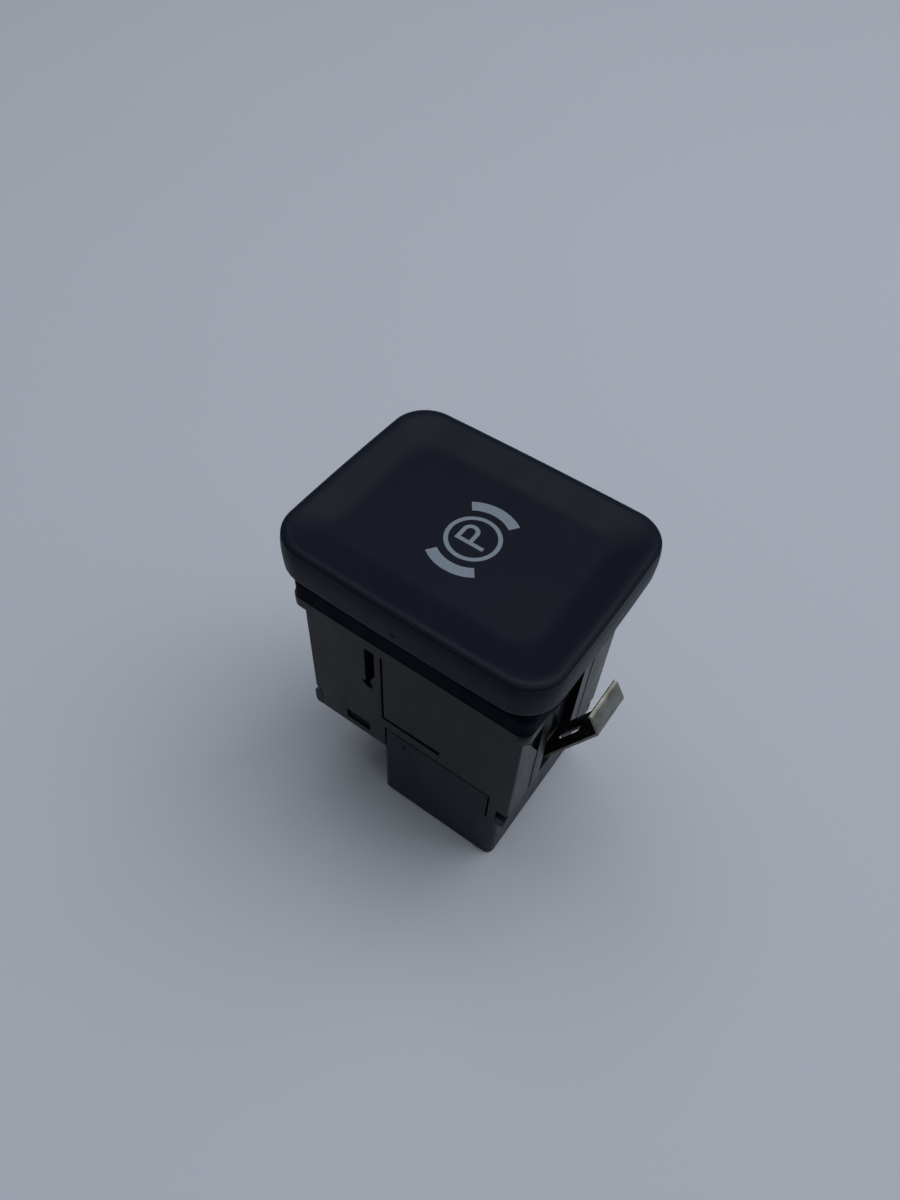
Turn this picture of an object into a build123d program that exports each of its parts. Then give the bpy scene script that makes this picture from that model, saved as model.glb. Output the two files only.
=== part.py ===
from build123d import *
import math
import os

# Parking brake push switch for a dashboard or a centre console, in millimetres.
# +Z points out of the press face, +Y is the top of the symbol, +X is to its right.
# The origin is at the middle of the connector's rim, under the centre of the cap.

# Heights, from the connector's rim upwards
connector_height = 13.25
skirt_drop = 1.15
housing_height = 25.9
flange_height = 2.05
collar_height = 3.85
cap_gap = 3.5
cap_height = 5.9
press_travel = 1.8

# Cap
cap_width = 30.8
cap_length = 38.9
cap_corner = 4.9
cap_bow = 0.25
cap_wall = 1.5
cap_skin = 1.5
cap_low_draft = 0.25
cap_top_draft = 0.15
cap_widest = 0.6
cap_rim_round = 1.1
cap_low_round = 0.9
dish_depth = 1.2
dish_rim = 1.7
dish_slope = 4.4

# Symbol: a letter in a ring, between two brake shoes
symbol_y = -0.15
ring_radius = 3.53
ring_stroke = 0.56
shoe_radius = 5.95
shoe_band = 1.45
shoe_half_deg = 36.0
letter_height = 3.95
letter_stroke = 0.56
letter_width = 2.95
letter_left = -1.1
letter_bowl = 2.3
window_side = 14.0
window_plate = 1.25

# Housing
housing_width = 24.2
housing_low_y = -16.65
housing_high_y = 17.2
housing_wall = 1.2
flange_out_x = 0.65
flange_low_out = 0.75
flange_high_out = 1.5
flange_corner = 1.4
flange_chamfer = 0.3
recess_head = 0.15
edge_round = 0.35

# Clip channels in the two short walls
channel_width = 8.0
channel_depth = 1.45
channel_cheek = 1.2
pad_recess = 0.7
pad_groove = 0.4
pad_knee = 11.4
pad_step = 0.4
pad_bend_x = 2.2
pad_bend_z = 3.4
groove_over = 0.5
shoulder_width = 2.4
step_width = 2.3
step_depth = 0.25

# Long walls: hooked slot, latch window, tab pocket and label field
slot_low_y = 5.75
slot_width = 1.6
slot_top_gap = 1.3
slot_length = 8.9
barb_height = 1.3
barb_reach = 0.8
barb_tip = 0.3
barb_root = 3.7
barb_bend = 1.9
latch_y = 9.2
latch_width = 4.25
latch_low = 1.35
latch_height = 2.15
latch_gap = 0.25
latch_inset = 0.35
latch_lip = 0.5
tab_low_y = -13.3
tab_high_y = 4.0
tab_top = 5.1
tab_gap = 0.15
tab_side_gap = 0.3
label_y = 4.58
label_low_y = -5.06
label_top_gap = 1.1
label_low = 7.95
groove_width = 0.4
groove_end = 0.8
groove_depth = 0.45
mark_radius = 0.3
mark_depth = 0.35
mark_y = 0.9
mark_z = 3.05

# Rear cover and its socket
block_low_y = -15.2
block_high_y = 4.8
block_corner = 1.2
block_edge = 0.4
socket_wall = 1.6
socket_depth = 9.6
socket_corner = 0.8
socket_lead = 0.4
key_width = 1.6
key_depth = 1.1
key_offset = 5.2
plate_gap = 0.12
plate_thickness = 1.35
low_rim_top = 2.35
high_rim_top = 3.75
rim_inset = 0.2
rim_gap = 0.3
high_chamfer = 0.7
notch_depth = 0.55
ear_drop = 0.5
arm_thickness = 1.0
arm_over = 0.8

# Circuit board and what it carries
board_lift = 2.8
board_thickness = 1.6
board_gap = 0.6
stud_side = 2.8
stake_radius = 0.6
stake_gap = 0.05
stake_proud = 0.4
stud_x = 8.3
stud_low_y = -12.6
stud_high_y = 13.0
pin_side = 0.64
pin_pitch = 3.4
pin_columns = 5
pin_row_gap = 3.8
pin_tip = 4.5
pin_above_board = 0.9
pin_point = 0.2
switch_length = 10.0
switch_width = 4.8
switch_height = 5.6
switch_y = 10.3
switch_leg = 0.8
switch_leg_depth = 0.3
switch_chamfer = 0.3
button_length = 3.0
button_width = 1.4
button_reach = 2.4
button_root = 2.2
button_gap = 0.1
lamp_length = 2.6
lamp_width = 2.2
lamp_height = 1.3
lamp_lens = 0.8
lamp_lens_rise = 0.3
lamp_x = 1.9
resistor_length = 2.0
resistor_width = 1.25
resistor_height = 0.55
resistor_cap_proud = 0.06
resistor_pitch = 3.0
resistor_y = 5.2
resistor_count = 4

# Slider, its light guide and its springs
tube_wall = 1.2
tube_corner = 1.5
guide_gap = 0.12
guide_width = 1.2
guide_y = 9.6
head_gap = 0.2
head_plate = 1.2
head_wall = 1.1
web_thickness = 1.4
web_above_button = 3.0
web_half_x = 10.35
post_radius = 1.3
post_gap = 0.08
hook_width = 1.2
hook_height = 1.8
hook_inset = 0.5
hook_gap = 0.25
rod_radius = 3.0
rod_cone_radius = 5.9
rod_flange_radius = 6.6
rod_flange = 1.3
rod_cone_height = 9.4
rod_fit = 0.06
lamp_clearance = 0.3
spring_x = 7.8
spring_radius = 2.0
spring_wire = 0.22
spring_turns = 5.0
spring_section_sides = 6
spring_post_radius = 1.35
spring_post_length = 6.5
spring_seat_gap = 0.02

# Guide collar
collar_inset = 0.06
collar_corner = 1.8
collar_round = 1.3
collar_gap = 0.4
collar_skirt = 2.6
collar_skirt_wall = 0.9
collar_skirt_gap = 0.1

# Retaining clips
clip_width = 6.6
clip_sheet = 0.4
clip_arm_low = 6.9
clip_arm_high = 19.65
clip_arm_out = 5.9
clip_lip_in = 1.4
clip_lip_rise = 2.3
clip_curl = 0.45
clip_bend = 0.35
clip_nose = 0.6
clip_slot_width = 1.1
clip_slot_low = 0.08
clip_slot_high = 0.48
clip_foot_z = 4.55
clip_foot_in = 1.75
clip_hook_drop = 1.2
clip_slot_gap = 0.35
clip_root_gap = 0.1

# Allowances of the construction: past a face that is cut, and into a wall that carries a form
past = 1.0
root = 0.2
inner_corner = 1.0

# Levels that follow from the heights
skirt_z = connector_height - skirt_drop
housing_top = connector_height + housing_height
flange_z = housing_top - flange_height
collar_top = housing_top + collar_height
cap_low = collar_top + cap_gap
cap_top = cap_low + cap_height
dish_z = cap_top - dish_depth
ceiling_z = dish_z - cap_skin
window_low = ceiling_z - window_plate
rod_top = window_low
head_floor = rod_top - rod_flange
head_low = head_floor - head_plate
plate_top = connector_height + plate_thickness
board_low = plate_top + board_lift
board_top = board_low + board_thickness
switch_top = board_top + switch_height
button_top = switch_top + button_reach
web_low = button_top + web_above_button
web_top = web_low + web_thickness
rod_low = board_top + lamp_height + press_travel + lamp_clearance

# Faces that follow from the widths
half_x = housing_width / 2
inner_x = half_x - housing_wall
low_floor = housing_low_y + channel_depth
high_floor = housing_high_y - channel_depth
low_wall = housing_low_y + housing_wall
high_wall = housing_high_y - housing_wall
low_back = low_floor + housing_wall
high_back = high_floor - housing_wall
block_mid_y = (block_low_y + block_high_y) / 2
block_length = block_high_y - block_low_y
tube_half_x = inner_x - collar_skirt_gap - collar_skirt_wall - collar_gap
tube_half_y = -low_back - collar_skirt_gap - collar_skirt_wall - collar_gap


def span(x, y, z):
    """Box between pairs of limits."""
    size = [abs(p[1] - p[0]) for p in (x, y, z)]
    middle = [(p[0] + p[1]) / 2 for p in (x, y, z)]
    return Pos(*middle) * Box(*size)


def rounded_block(x, y, z, corner):
    """Upright block between pairs of limits, with rounded corners in plan."""
    plan = RectangleRounded(x[1] - x[0], y[1] - y[0], corner)
    return extrude(Pos((x[0] + x[1]) / 2, (y[0] + y[1]) / 2, z[0]) * plan, z[1] - z[0])


def side_profile(points, x_low, x_high):
    """Prism along X from points given as (y, z)."""
    outline = Polyline(*[(0, y, z) for y, z in points], close=True)
    return extrude(Pos(x_low, 0, 0) * make_face(outline), x_high - x_low, dir=(1, 0, 0))


def front_profile(points, y_low, y_high):
    """Prism along Y from points given as (x, z)."""
    outline = Polyline(*[(x, 0, z) for x, z in points], close=True)
    return extrude(Pos(0, y_low, 0) * make_face(outline), y_high - y_low, dir=(0, 1, 0))


def both_x(shape):
    """A shape and its mirror image across the YZ plane."""
    return [shape, mirror(shape, Plane.YZ)]


def both_y(shape):
    """A shape and its mirror image across the middle of the housing."""
    middle = (housing_low_y + housing_high_y) / 2
    return [shape, mirror(shape, Plane.XZ.offset(-middle))]


def cap_outline(width, length, corner, bow):
    """Rounded rectangle whose four sides bow outwards a little."""
    hx = width / 2
    hy = length / 2
    x = hx - bow
    y = hy - bow
    sides = [
        ThreePointArc((x, -y), (hx, 0), (x, y)),
        ThreePointArc((x, y), (0, hy), (-x, y)),
        ThreePointArc((-x, y), (-hx, 0), (-x, -y)),
        ThreePointArc((-x, -y), (0, -hy), (x, -y)),
    ]
    face = make_face(Wire(sides))
    return fillet(face.vertices(), corner)


def symbol_faces():
    """The letter, its ring and the two brake shoes, as flat faces."""
    ring = Circle(ring_radius) - Circle(ring_radius - ring_stroke)
    sector_reach = shoe_radius * 2
    angle = math.radians(shoe_half_deg)
    wedge = make_face(Polyline(
        (0, 0),
        (sector_reach * math.cos(angle), -sector_reach * math.sin(angle)),
        (sector_reach * math.cos(angle), sector_reach * math.sin(angle)),
        close=True,
    ))
    band = Circle(shoe_radius) - Circle(shoe_radius - shoe_band)
    shoe = band & wedge
    other_shoe = mirror(shoe, Plane.YZ)
    low = -letter_height / 2
    high = letter_height / 2
    left = letter_left
    bowl_radius = letter_bowl / 2
    bowl_x = left + letter_width - bowl_radius
    bowl_y = high - bowl_radius
    stem = Pos(left + letter_stroke / 2, 0) * Rectangle(letter_stroke, letter_height)
    outer = Pos(bowl_x, bowl_y) * Circle(bowl_radius)
    outer += Pos((left + bowl_x) / 2, bowl_y) * Rectangle(bowl_x - left, letter_bowl)
    counter_height = letter_bowl - 2 * letter_stroke
    counter = Pos(bowl_x, bowl_y) * Circle(counter_height / 2)
    counter_left = left + letter_stroke
    counter += Pos((counter_left + bowl_x) / 2, bowl_y) * Rectangle(bowl_x - counter_left, counter_height)
    right_half = Pos(sector_reach / 2 + left, 0) * Rectangle(sector_reach, sector_reach)
    letter = stem + ((outer & right_half) - counter)
    return [ring, shoe, other_shoe, letter]


def symbol_solid(z_low, z_high):
    """The symbol as upright strokes."""
    strokes = [extrude(Pos(0, symbol_y, z_low) * face, z_high - z_low) for face in symbol_faces()]
    return Part() + strokes


def make_cap():
    """Press cap: a drafted shell with a dished top and the symbol's openings."""
    wide_z = cap_low + cap_height * cap_widest
    widest = cap_outline(cap_width, cap_length, cap_corner, cap_bow)
    foot = cap_outline(cap_width - 2 * cap_low_draft, cap_length - 2 * cap_low_draft, cap_corner, cap_bow)
    head = cap_outline(cap_width - 2 * cap_top_draft, cap_length - 2 * cap_top_draft, cap_corner, cap_bow)
    lower = loft([Pos(0, 0, cap_low) * foot, Pos(0, 0, wide_z) * widest])
    upper = loft([Pos(0, 0, wide_z) * widest, Pos(0, 0, cap_top) * head])
    shell = lower + upper
    shell = fillet(shell.faces().sort_by(Axis.Z)[-1].edges(), cap_rim_round)
    shell = fillet(shell.faces().sort_by(Axis.Z)[0].edges(), cap_low_round)
    inset = dish_rim + dish_slope
    mouth = RectangleRounded(cap_width - 2 * dish_rim, cap_length - 2 * dish_rim, cap_corner - dish_rim / 2)
    floor = RectangleRounded(cap_width - 2 * inset, cap_length - 2 * inset, cap_corner - dish_rim)
    dish = loft([Pos(0, 0, dish_z) * floor, Pos(0, 0, cap_top) * mouth])
    dish += extrude(Pos(0, 0, cap_top) * mouth, cap_rim_round)
    shell -= dish
    hollow_x = cap_width / 2 - cap_wall - cap_bow
    hollow_y = cap_length / 2 - cap_wall - cap_bow
    hollow = rounded_block((-hollow_x, hollow_x), (-hollow_y, hollow_y), (cap_low - past, ceiling_z),
                           cap_corner - cap_wall)
    shell -= hollow
    return shell - symbol_solid(ceiling_z - past, cap_top)


def make_symbol_window():
    """Translucent inlay: a plate under the cap's skin, with the symbol raised on it."""
    side = window_side / 2
    plate = rounded_block((-side, side), (-side, side), (window_low, ceiling_z), inner_corner)
    return plate + symbol_solid(ceiling_z, dish_z)


def make_light_guide():
    """Clear rod that carries the lamps' light up to the symbol."""
    cone_top = head_floor
    cone_low = cone_top - rod_cone_height
    profile = Polyline(
        (0, rod_low), (rod_radius, rod_low), (rod_radius, cone_low), (rod_cone_radius, cone_top),
        (rod_flange_radius, cone_top), (rod_flange_radius, rod_top), (0, rod_top), close=True,
    )
    face = make_face(Plane.XZ * profile)
    return revolve(face, Axis.Z)


def make_slider():
    """Plunger frame in the cap: head, guide tube, foot web, posts and end-stop hooks."""
    head_x = cap_width / 2 - cap_wall - cap_bow - head_gap
    head_y = cap_length / 2 - cap_wall - cap_bow - head_gap
    corner = cap_corner - cap_wall - head_gap
    head = rounded_block((-head_x, head_x), (-head_y, head_y), (head_low, ceiling_z), corner)
    pocket = window_side / 2 + rod_fit
    head -= rounded_block((-pocket, pocket), (-pocket, pocket), (head_floor, ceiling_z + past), inner_corner)
    cell_x = head_x - head_wall
    cell_y = head_y - head_wall
    rim = pocket + head_wall
    for sign in (-1, 1):
        head -= span((-cell_x, cell_x), (sign * rim, sign * cell_y), (head_floor, ceiling_z + past))
        head -= span((sign * rim, sign * cell_x), (-pocket, pocket), (head_floor, ceiling_z + past))
    tube = rounded_block((-tube_half_x, tube_half_x), (-tube_half_y, tube_half_y), (web_low, head_low),
                         tube_corner)
    bore_x = tube_half_x - tube_wall
    bore_y = tube_half_y - tube_wall
    tube -= rounded_block((-bore_x, bore_x), (-bore_y, bore_y), (web_top, head_low), inner_corner)
    web = rounded_block((-web_half_x, web_half_x), (-spring_radius * 2, spring_radius * 2),
                        (web_low, web_top), inner_corner)
    slider = head + tube + web
    slider -= Pos(0, 0, head_floor - head_plate / 2) * Cylinder(rod_cone_radius + rod_fit, head_plate * 2)
    slider -= Pos(0, 0, web_low + web_thickness / 2) * Cylinder(rod_radius + rod_fit, web_thickness * 2)
    for sign in (-1, 1):
        length = web_low - button_top - post_gap
        slider += Pos(0, sign * switch_y, web_low - length / 2) * Cylinder(post_radius, length)
        middle = web_low - spring_post_length / 2
        slider += Pos(sign * spring_x, 0, middle) * Cylinder(spring_post_radius, spring_post_length)
    hook_top = flange_z - slot_top_gap - hook_gap
    hook_out = half_x - hook_inset
    hook_mid = slot_low_y + slot_width / 2
    hook = front_profile(
        [(tube_half_x - root, hook_top), (hook_out, hook_top), (hook_out, hook_top - hook_height / 3),
         (tube_half_x - root, hook_top - hook_height)],
        hook_mid - hook_width / 2, hook_mid + hook_width / 2,
    )
    return slider + both_x(hook)


def make_guide_collar():
    """Front frame on the housing, with a skirt inside it."""
    x = half_x + flange_out_x - collar_inset
    low = housing_low_y - flange_low_out + collar_inset
    high = housing_high_y + flange_high_out - collar_inset
    ring = rounded_block((-x, x), (low, high), (housing_top, collar_top), collar_corner)
    ring = fillet(ring.faces().sort_by(Axis.Z)[-1].edges(), collar_round)
    skirt_x = inner_x - collar_skirt_gap
    skirt_low = low_back + collar_skirt_gap
    skirt_high = high_back - collar_skirt_gap
    skirt_z_low = housing_top - collar_skirt
    ring += rounded_block((-skirt_x, skirt_x), (skirt_low, skirt_high), (skirt_z_low, housing_top),
                          inner_corner)
    open_x = tube_half_x + collar_gap
    open_y = tube_half_y + collar_gap
    ring -= rounded_block((-open_x, open_x), (-open_y, open_y), (skirt_z_low - past, collar_top + past),
                          tube_corner + collar_gap / 2)
    return ring


def slot_outline():
    """Hooked slot in the long wall, as (y, z) points."""
    top = flange_z - slot_top_gap
    low = top - slot_length
    right = slot_low_y
    left = slot_low_y + slot_width
    barb_low = right + barb_reach - barb_tip
    return [
        (right, top), (left, top), (left, low + barb_height),
        (left + barb_reach, low + barb_height - barb_tip),
        (left - barb_tip, low), (barb_low, low), (barb_low, low + barb_height - barb_tip),
        (right + barb_reach, low + barb_bend), (right, low + barb_root),
    ]


def clip_slot():
    """Opening in the lower channel's floor for the clip's foot."""
    x = clip_width / 2 + clip_root_gap * 2
    z = connector_height + clip_foot_z
    low = z - clip_sheet / 2 - clip_slot_gap * 2
    high = z + clip_sheet / 2 + clip_slot_gap
    return span((-x, x), (low_floor - past, low_back + past), (low, high))


def channel_side():
    """What is taken from the outside of the lower short wall."""
    half = channel_width / 2
    face = housing_low_y
    head = flange_z - recess_head
    cuts = [span((-half, half), (face - past, low_floor), (skirt_z, head))]
    pad_x = half + shoulder_width
    low = connector_height + rim_gap + low_rim_top
    knee = low + pad_knee
    cuts.append(front_profile(
        [(-half_x - past, head), (-half_x - past, head - pad_step / 2), (-half_x, head - pad_step),
         (-half_x + pad_bend_x, head - pad_bend_z), (-pad_x - pad_groove, knee), (-pad_x, knee),
         (-pad_x, head)],
        face - past, face + pad_recess,
    ))
    cuts.append(span((-pad_x - pad_groove, -pad_x), (face - past, face + pad_recess),
                     (skirt_z, knee + groove_over)))
    cuts.append(span((half, half + step_width), (face - past, face + step_depth), (skirt_z, head)))
    return cuts


def make_housing():
    """Moulded body: a shell open at both ends, with a flange, clip channels and latch windows."""
    body_top = flange_z + flange_height / 2
    body = span((-half_x, half_x), (housing_low_y, housing_high_y), (connector_height, body_top))
    body = fillet(body.edges().filter_by(Axis.Z), edge_round)
    skirt = span((-half_x, half_x), (block_low_y, tab_high_y), (skirt_z, plate_top))
    flange = rounded_block(
        (-half_x - flange_out_x, half_x + flange_out_x),
        (housing_low_y - flange_low_out, housing_high_y + flange_high_out),
        (flange_z, housing_top), flange_corner,
    )
    flange = chamfer(flange.faces().sort_by(Axis.Z)[0].edges(), flange_chamfer)
    body = body + skirt + flange
    for cut in channel_side():
        body -= both_y(cut)
    cavity = span((-inner_x, inner_x), (low_wall, high_wall), (skirt_z - past, housing_top + past))
    cheek = channel_width / 2 + channel_cheek
    cavity -= span((-cheek, cheek), (low_wall - past, low_back), (skirt_z - past, housing_top + past))
    cavity -= span((-cheek, cheek), (high_back, high_wall + past), (skirt_z - past, housing_top + past))
    body -= cavity
    rib_low = board_top + plate_gap
    rib_high = housing_top - collar_skirt - plate_gap
    for y in (-guide_y, guide_y):
        rib = span((tube_half_x + guide_gap, inner_x + root), (y - guide_width / 2, y + guide_width / 2),
                   (rib_low, rib_high))
        body += both_x(rib)
    for x in (-guide_width * 2, guide_width * 2):
        body += span((x - guide_width / 2, x + guide_width / 2), (low_back - root, -tube_half_y - guide_gap),
                     (web_low - press_travel, rib_high))
        body += span((x - guide_width / 2, x + guide_width / 2), (tube_half_y + guide_gap, high_back + root),
                     (web_low - press_travel, rib_high))
    body -= both_y(clip_slot())
    reach = half_x + past
    low_end = connector_height + low_rim_top + rim_gap
    high_end = connector_height + high_rim_top + rim_gap
    body -= span((-reach, reach), (housing_low_y - past, low_wall + notch_depth), (skirt_z - past, low_end))
    mouth = span((-cheek, cheek), (housing_low_y - past, low_back + root), (skirt_z - past, low_end))
    for cut in both_y(mouth):
        body -= cut
    corner = side_profile(
        [(high_wall, skirt_z - past), (housing_high_y + past, skirt_z - past),
         (housing_high_y + past, high_end + high_chamfer),
         (housing_high_y, high_end + high_chamfer), (housing_high_y - high_chamfer, high_end),
         (high_wall, high_end)],
        cheek, reach,
    )
    for cut in both_x(corner):
        body -= cut
    window_low_z = connector_height + latch_low
    window = span((inner_x - past, reach), (latch_y - latch_width / 2, latch_y + latch_width / 2),
                  (window_low_z, window_low_z + latch_height))
    pocket = span((inner_x - past, reach), (tab_low_y - tab_side_gap, tab_high_y + tab_side_gap),
                  (skirt_z - past, connector_height + tab_top + tab_gap))
    slot = side_profile(slot_outline(), inner_x - past, reach)
    for cut in (window, pocket, slot):
        body -= both_x(cut)
    label_top = flange_z - label_top_gap
    label_z = connector_height + label_low
    face = -half_x
    half_groove = groove_width / 2
    left = label_y + half_groove
    right = label_y - half_groove
    body -= side_profile(
        [(left, label_top), (right, label_top), (right, label_z + half_groove),
         (label_low_y, label_z + groove_end / 2), (label_low_y, label_z - groove_end / 2),
         (left, label_z - half_groove)],
        face - past, face + groove_depth,
    )
    return body


def key_ribs():
    """Polarising ribs on the socket's long walls."""
    low = block_low_y + socket_wall
    high = block_high_y - socket_wall
    ribs = []
    for x in (-key_offset, key_offset):
        ribs.append(span((x - key_width / 2, x + key_width / 2), (high - key_depth, high + root),
                         (socket_lead * 2, socket_depth)))
    ribs.append(span((-key_width / 2, key_width / 2), (low - root, low + key_depth),
                     (socket_lead * 2, socket_depth)))
    return ribs


def make_rear_cover():
    """Lid of the housing with the connector socket, its seat rims, side tabs and latch arms."""
    block = rounded_block((-half_x, half_x), (block_low_y, block_high_y), (0, skirt_z), block_corner)
    block = chamfer(block.faces().sort_by(Axis.Z)[0].edges(), block_edge)
    plate_x = inner_x - plate_gap
    plate_low_y = low_wall + plate_gap
    plate_high_y = high_wall - plate_gap
    stem = span((-plate_x, plate_x), (block_low_y + block_corner, block_high_y - block_corner),
                (skirt_z, connector_height))
    plate = span((-plate_x, plate_x), (plate_low_y, plate_high_y), (connector_height, plate_top))
    cover = block + stem + plate
    low_face = housing_low_y + rim_inset
    low_rim_z = connector_height + low_rim_top
    low_rim = span((-plate_x, plate_x), (low_face, plate_low_y + past), (connector_height, low_rim_z))
    for rim in both_y(low_rim):
        cover += rim
    cover += span((-plate_x, plate_x), (low_face, plate_low_y + past), (skirt_z, connector_height))
    ear = span((-half_x, half_x), (low_face, low_wall + notch_depth - plate_gap),
               (skirt_z, plate_top - ear_drop))
    cover += fillet(ear.edges().filter_by(Axis.Z).group_by(Axis.Y)[0], edge_round)
    high_rim_z = connector_height + high_rim_top
    rim_in = high_wall + plate_gap
    high_rim = side_profile(
        [(rim_in, connector_height), (housing_high_y, connector_height),
         (housing_high_y + rim_inset, connector_height + high_chamfer),
         (housing_high_y + rim_inset, high_rim_z - high_chamfer - rim_inset),
         (housing_high_y - high_chamfer, high_rim_z), (rim_in, high_rim_z)],
        channel_width / 2 + channel_cheek + plate_gap, half_x,
    )
    cover += both_x(high_rim)
    socket_x = half_x - socket_wall
    socket_y = (block_low_y + socket_wall, block_high_y - socket_wall)
    socket = rounded_block((-socket_x, socket_x), socket_y, (-past, socket_depth), socket_corner)
    for rib in key_ribs():
        socket -= rib
    cover -= socket
    socket_length = block_length - 2 * socket_wall
    rim_plan = RectangleRounded(2 * (socket_x + socket_lead), socket_length + 2 * socket_lead, socket_corner)
    throat_plan = RectangleRounded(2 * socket_x, socket_length, socket_corner)
    mouth = loft([Pos(0, block_mid_y, 0) * rim_plan, Pos(0, block_mid_y, socket_lead * 2) * throat_plan])
    cover -= mouth
    tab_mid = (tab_low_y + tab_high_y) / 2
    tab = span((inner_x - plate_gap - root, half_x), (tab_low_y, tab_high_y),
               (skirt_z - past, connector_height + tab_top))
    mark = Rot(0, 90, 0) * Cylinder(mark_radius, mark_depth * 2)
    mark = Pos(half_x, mark_y, connector_height + mark_z) * mark
    cover += both_x(tab - mark)
    hook_low = connector_height + latch_low + latch_gap
    hook_high = hook_low + latch_height - 2 * latch_gap
    arm_out = inner_x - plate_gap
    arm_y = (latch_y - latch_width / 2 + latch_gap, latch_y + latch_width / 2 - latch_gap)
    arm = span((arm_out - arm_thickness, arm_out), arm_y, (connector_height, hook_high + arm_over))
    arm += front_profile(
        [(arm_out - root, hook_low), (half_x - latch_inset, hook_low),
         (half_x - latch_inset, hook_low + latch_lip),
         (arm_out - root, hook_high)],
        arm_y[0], arm_y[1],
    )
    cover += both_x(arm)
    for x, y in stud_places():
        cover += span((x - stud_side / 2, x + stud_side / 2), (y - stud_side / 2, y + stud_side / 2),
                      (plate_top, board_low))
        stake = board_thickness + stake_proud
        cover += Pos(x, y, board_low + stake / 2) * Cylinder(stake_radius, stake)
    for x, y in pin_places():
        cover -= span((x - pin_side / 2, x + pin_side / 2), (y - pin_side / 2, y + pin_side / 2),
                      (-past, board_low))
    return cover


def stud_places():
    """Centres of the rear cover's board studs."""
    return [(x, y) for x in (-stud_x, stud_x) for y in (stud_low_y, stud_high_y)]


def pin_places():
    """Centres of the terminals, row by row."""
    first = -(pin_columns - 1) / 2 * pin_pitch
    rows = (block_mid_y - pin_row_gap / 2, block_mid_y + pin_row_gap / 2)
    return [(first + column * pin_pitch, y) for y in rows for column in range(pin_columns)]


def make_board():
    """Printed board on the rear cover's studs, notched at the clips' feet."""
    x = inner_x - board_gap
    y_low = low_wall + board_gap
    y_high = high_wall - board_gap
    board = rounded_block((-x, x), (y_low, y_high), (board_low, board_top), inner_corner)
    half = channel_width / 2 + channel_cheek + board_gap / 2
    notch = low_floor + clip_foot_in + clip_sheet + board_gap - y_low
    board -= span((-half, half), (y_low - past, y_low + notch), (board_low - past, board_top + past))
    board -= span((-half, half), (y_high - notch, y_high + past), (board_low - past, board_top + past))
    arm_in = inner_x - plate_gap - arm_thickness - board_gap / 3
    arm = span((arm_in, inner_x), (latch_y - latch_width / 2, latch_y + latch_width / 2),
               (board_low - past, board_top + past))
    for cut in both_x(arm):
        board -= cut
    for px, py in stud_places():
        board -= Pos(px, py, board_low) * Cylinder(stake_radius + stake_gap, board_thickness * 3)
    for px, py in pin_places():
        board -= span((px - pin_side / 2, px + pin_side / 2), (py - pin_side / 2, py + pin_side / 2),
                      (board_low - past, board_top + past))
    return board


def make_terminal(x, y):
    """Square pin from the socket up through the board, pointed at its lower end."""
    half = pin_side / 2
    pin = span((x - half, x + half), (y - half, y + half), (pin_tip, board_top + pin_above_board))
    return chamfer(pin.faces().sort_by(Axis.Z)[0].edges(), pin_point)


def make_microswitch(sign):
    """Body of a small switch with a well for its button."""
    y = sign * switch_y
    body = span((-switch_length / 2, switch_length / 2), (y - switch_width / 2, y + switch_width / 2),
                (board_top, switch_top))
    body = chamfer(body.faces().sort_by(Axis.Z)[-1].edges(), switch_chamfer)
    well_x = button_length / 2 + button_gap
    well_y = button_width / 2 + button_gap
    well_low = switch_top - button_root - press_travel - button_gap
    body -= span((-well_x, well_x), (y - well_y, y + well_y), (well_low, switch_top + past))
    for x in (-switch_length / 2 + switch_leg, switch_length / 2 - switch_leg):
        body -= span((x - switch_leg / 2, x + switch_leg / 2),
                     (y - switch_width, y - switch_width / 2 + switch_leg_depth),
                     (board_top + switch_leg, switch_top - switch_leg))
    return body


def make_button(sign):
    """Button of a microswitch, with a rounded top."""
    y = sign * switch_y
    button = span((-button_length / 2, button_length / 2), (y - button_width / 2, y + button_width / 2),
                  (switch_top - button_root, button_top))
    return fillet(button.faces().sort_by(Axis.Z)[-1].edges().filter_by(Axis.X), button_width / 3)


def make_lamp(x):
    """Surface-mounted lamp: a block with a low lens."""
    body = span((x - lamp_width / 2, x + lamp_width / 2), (-lamp_length / 2, lamp_length / 2),
                (board_top, board_top + lamp_height - lamp_lens_rise))
    lens = Pos(x, 0, board_top + lamp_height - lamp_lens_rise / 2) * Cylinder(lamp_lens, lamp_lens_rise)
    return body + lens


def make_resistor(x):
    """Chip resistor with end caps a little proud of its middle."""
    half = resistor_length / 2
    middle = span((x - resistor_width / 2, x + resistor_width / 2), (resistor_y - half, resistor_y + half),
                  (board_top, board_top + resistor_height - resistor_cap_proud))
    for side in (-1, 1):
        end = resistor_y + side * half
        middle += span((x - resistor_width / 2, x + resistor_width / 2),
                       sorted((end, end - side * resistor_length / 5)),
                       (board_top, board_top + resistor_height))
    return middle


def make_spring(x):
    """Coil spring between the board and the slider's web, its wire drawn as a prism of few sides."""
    low = board_top + spring_wire + spring_seat_gap
    high = web_low - spring_wire - spring_seat_gap
    pitch = (high - low) / spring_turns
    path = Pos(x, 0, low) * Helix(pitch, high - low, spring_radius)
    plane = Plane(origin=path @ 0, z_dir=path % 0)
    return sweep(plane * RegularPolygon(spring_wire, spring_section_sides), path=path, is_frenet=True)


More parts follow.
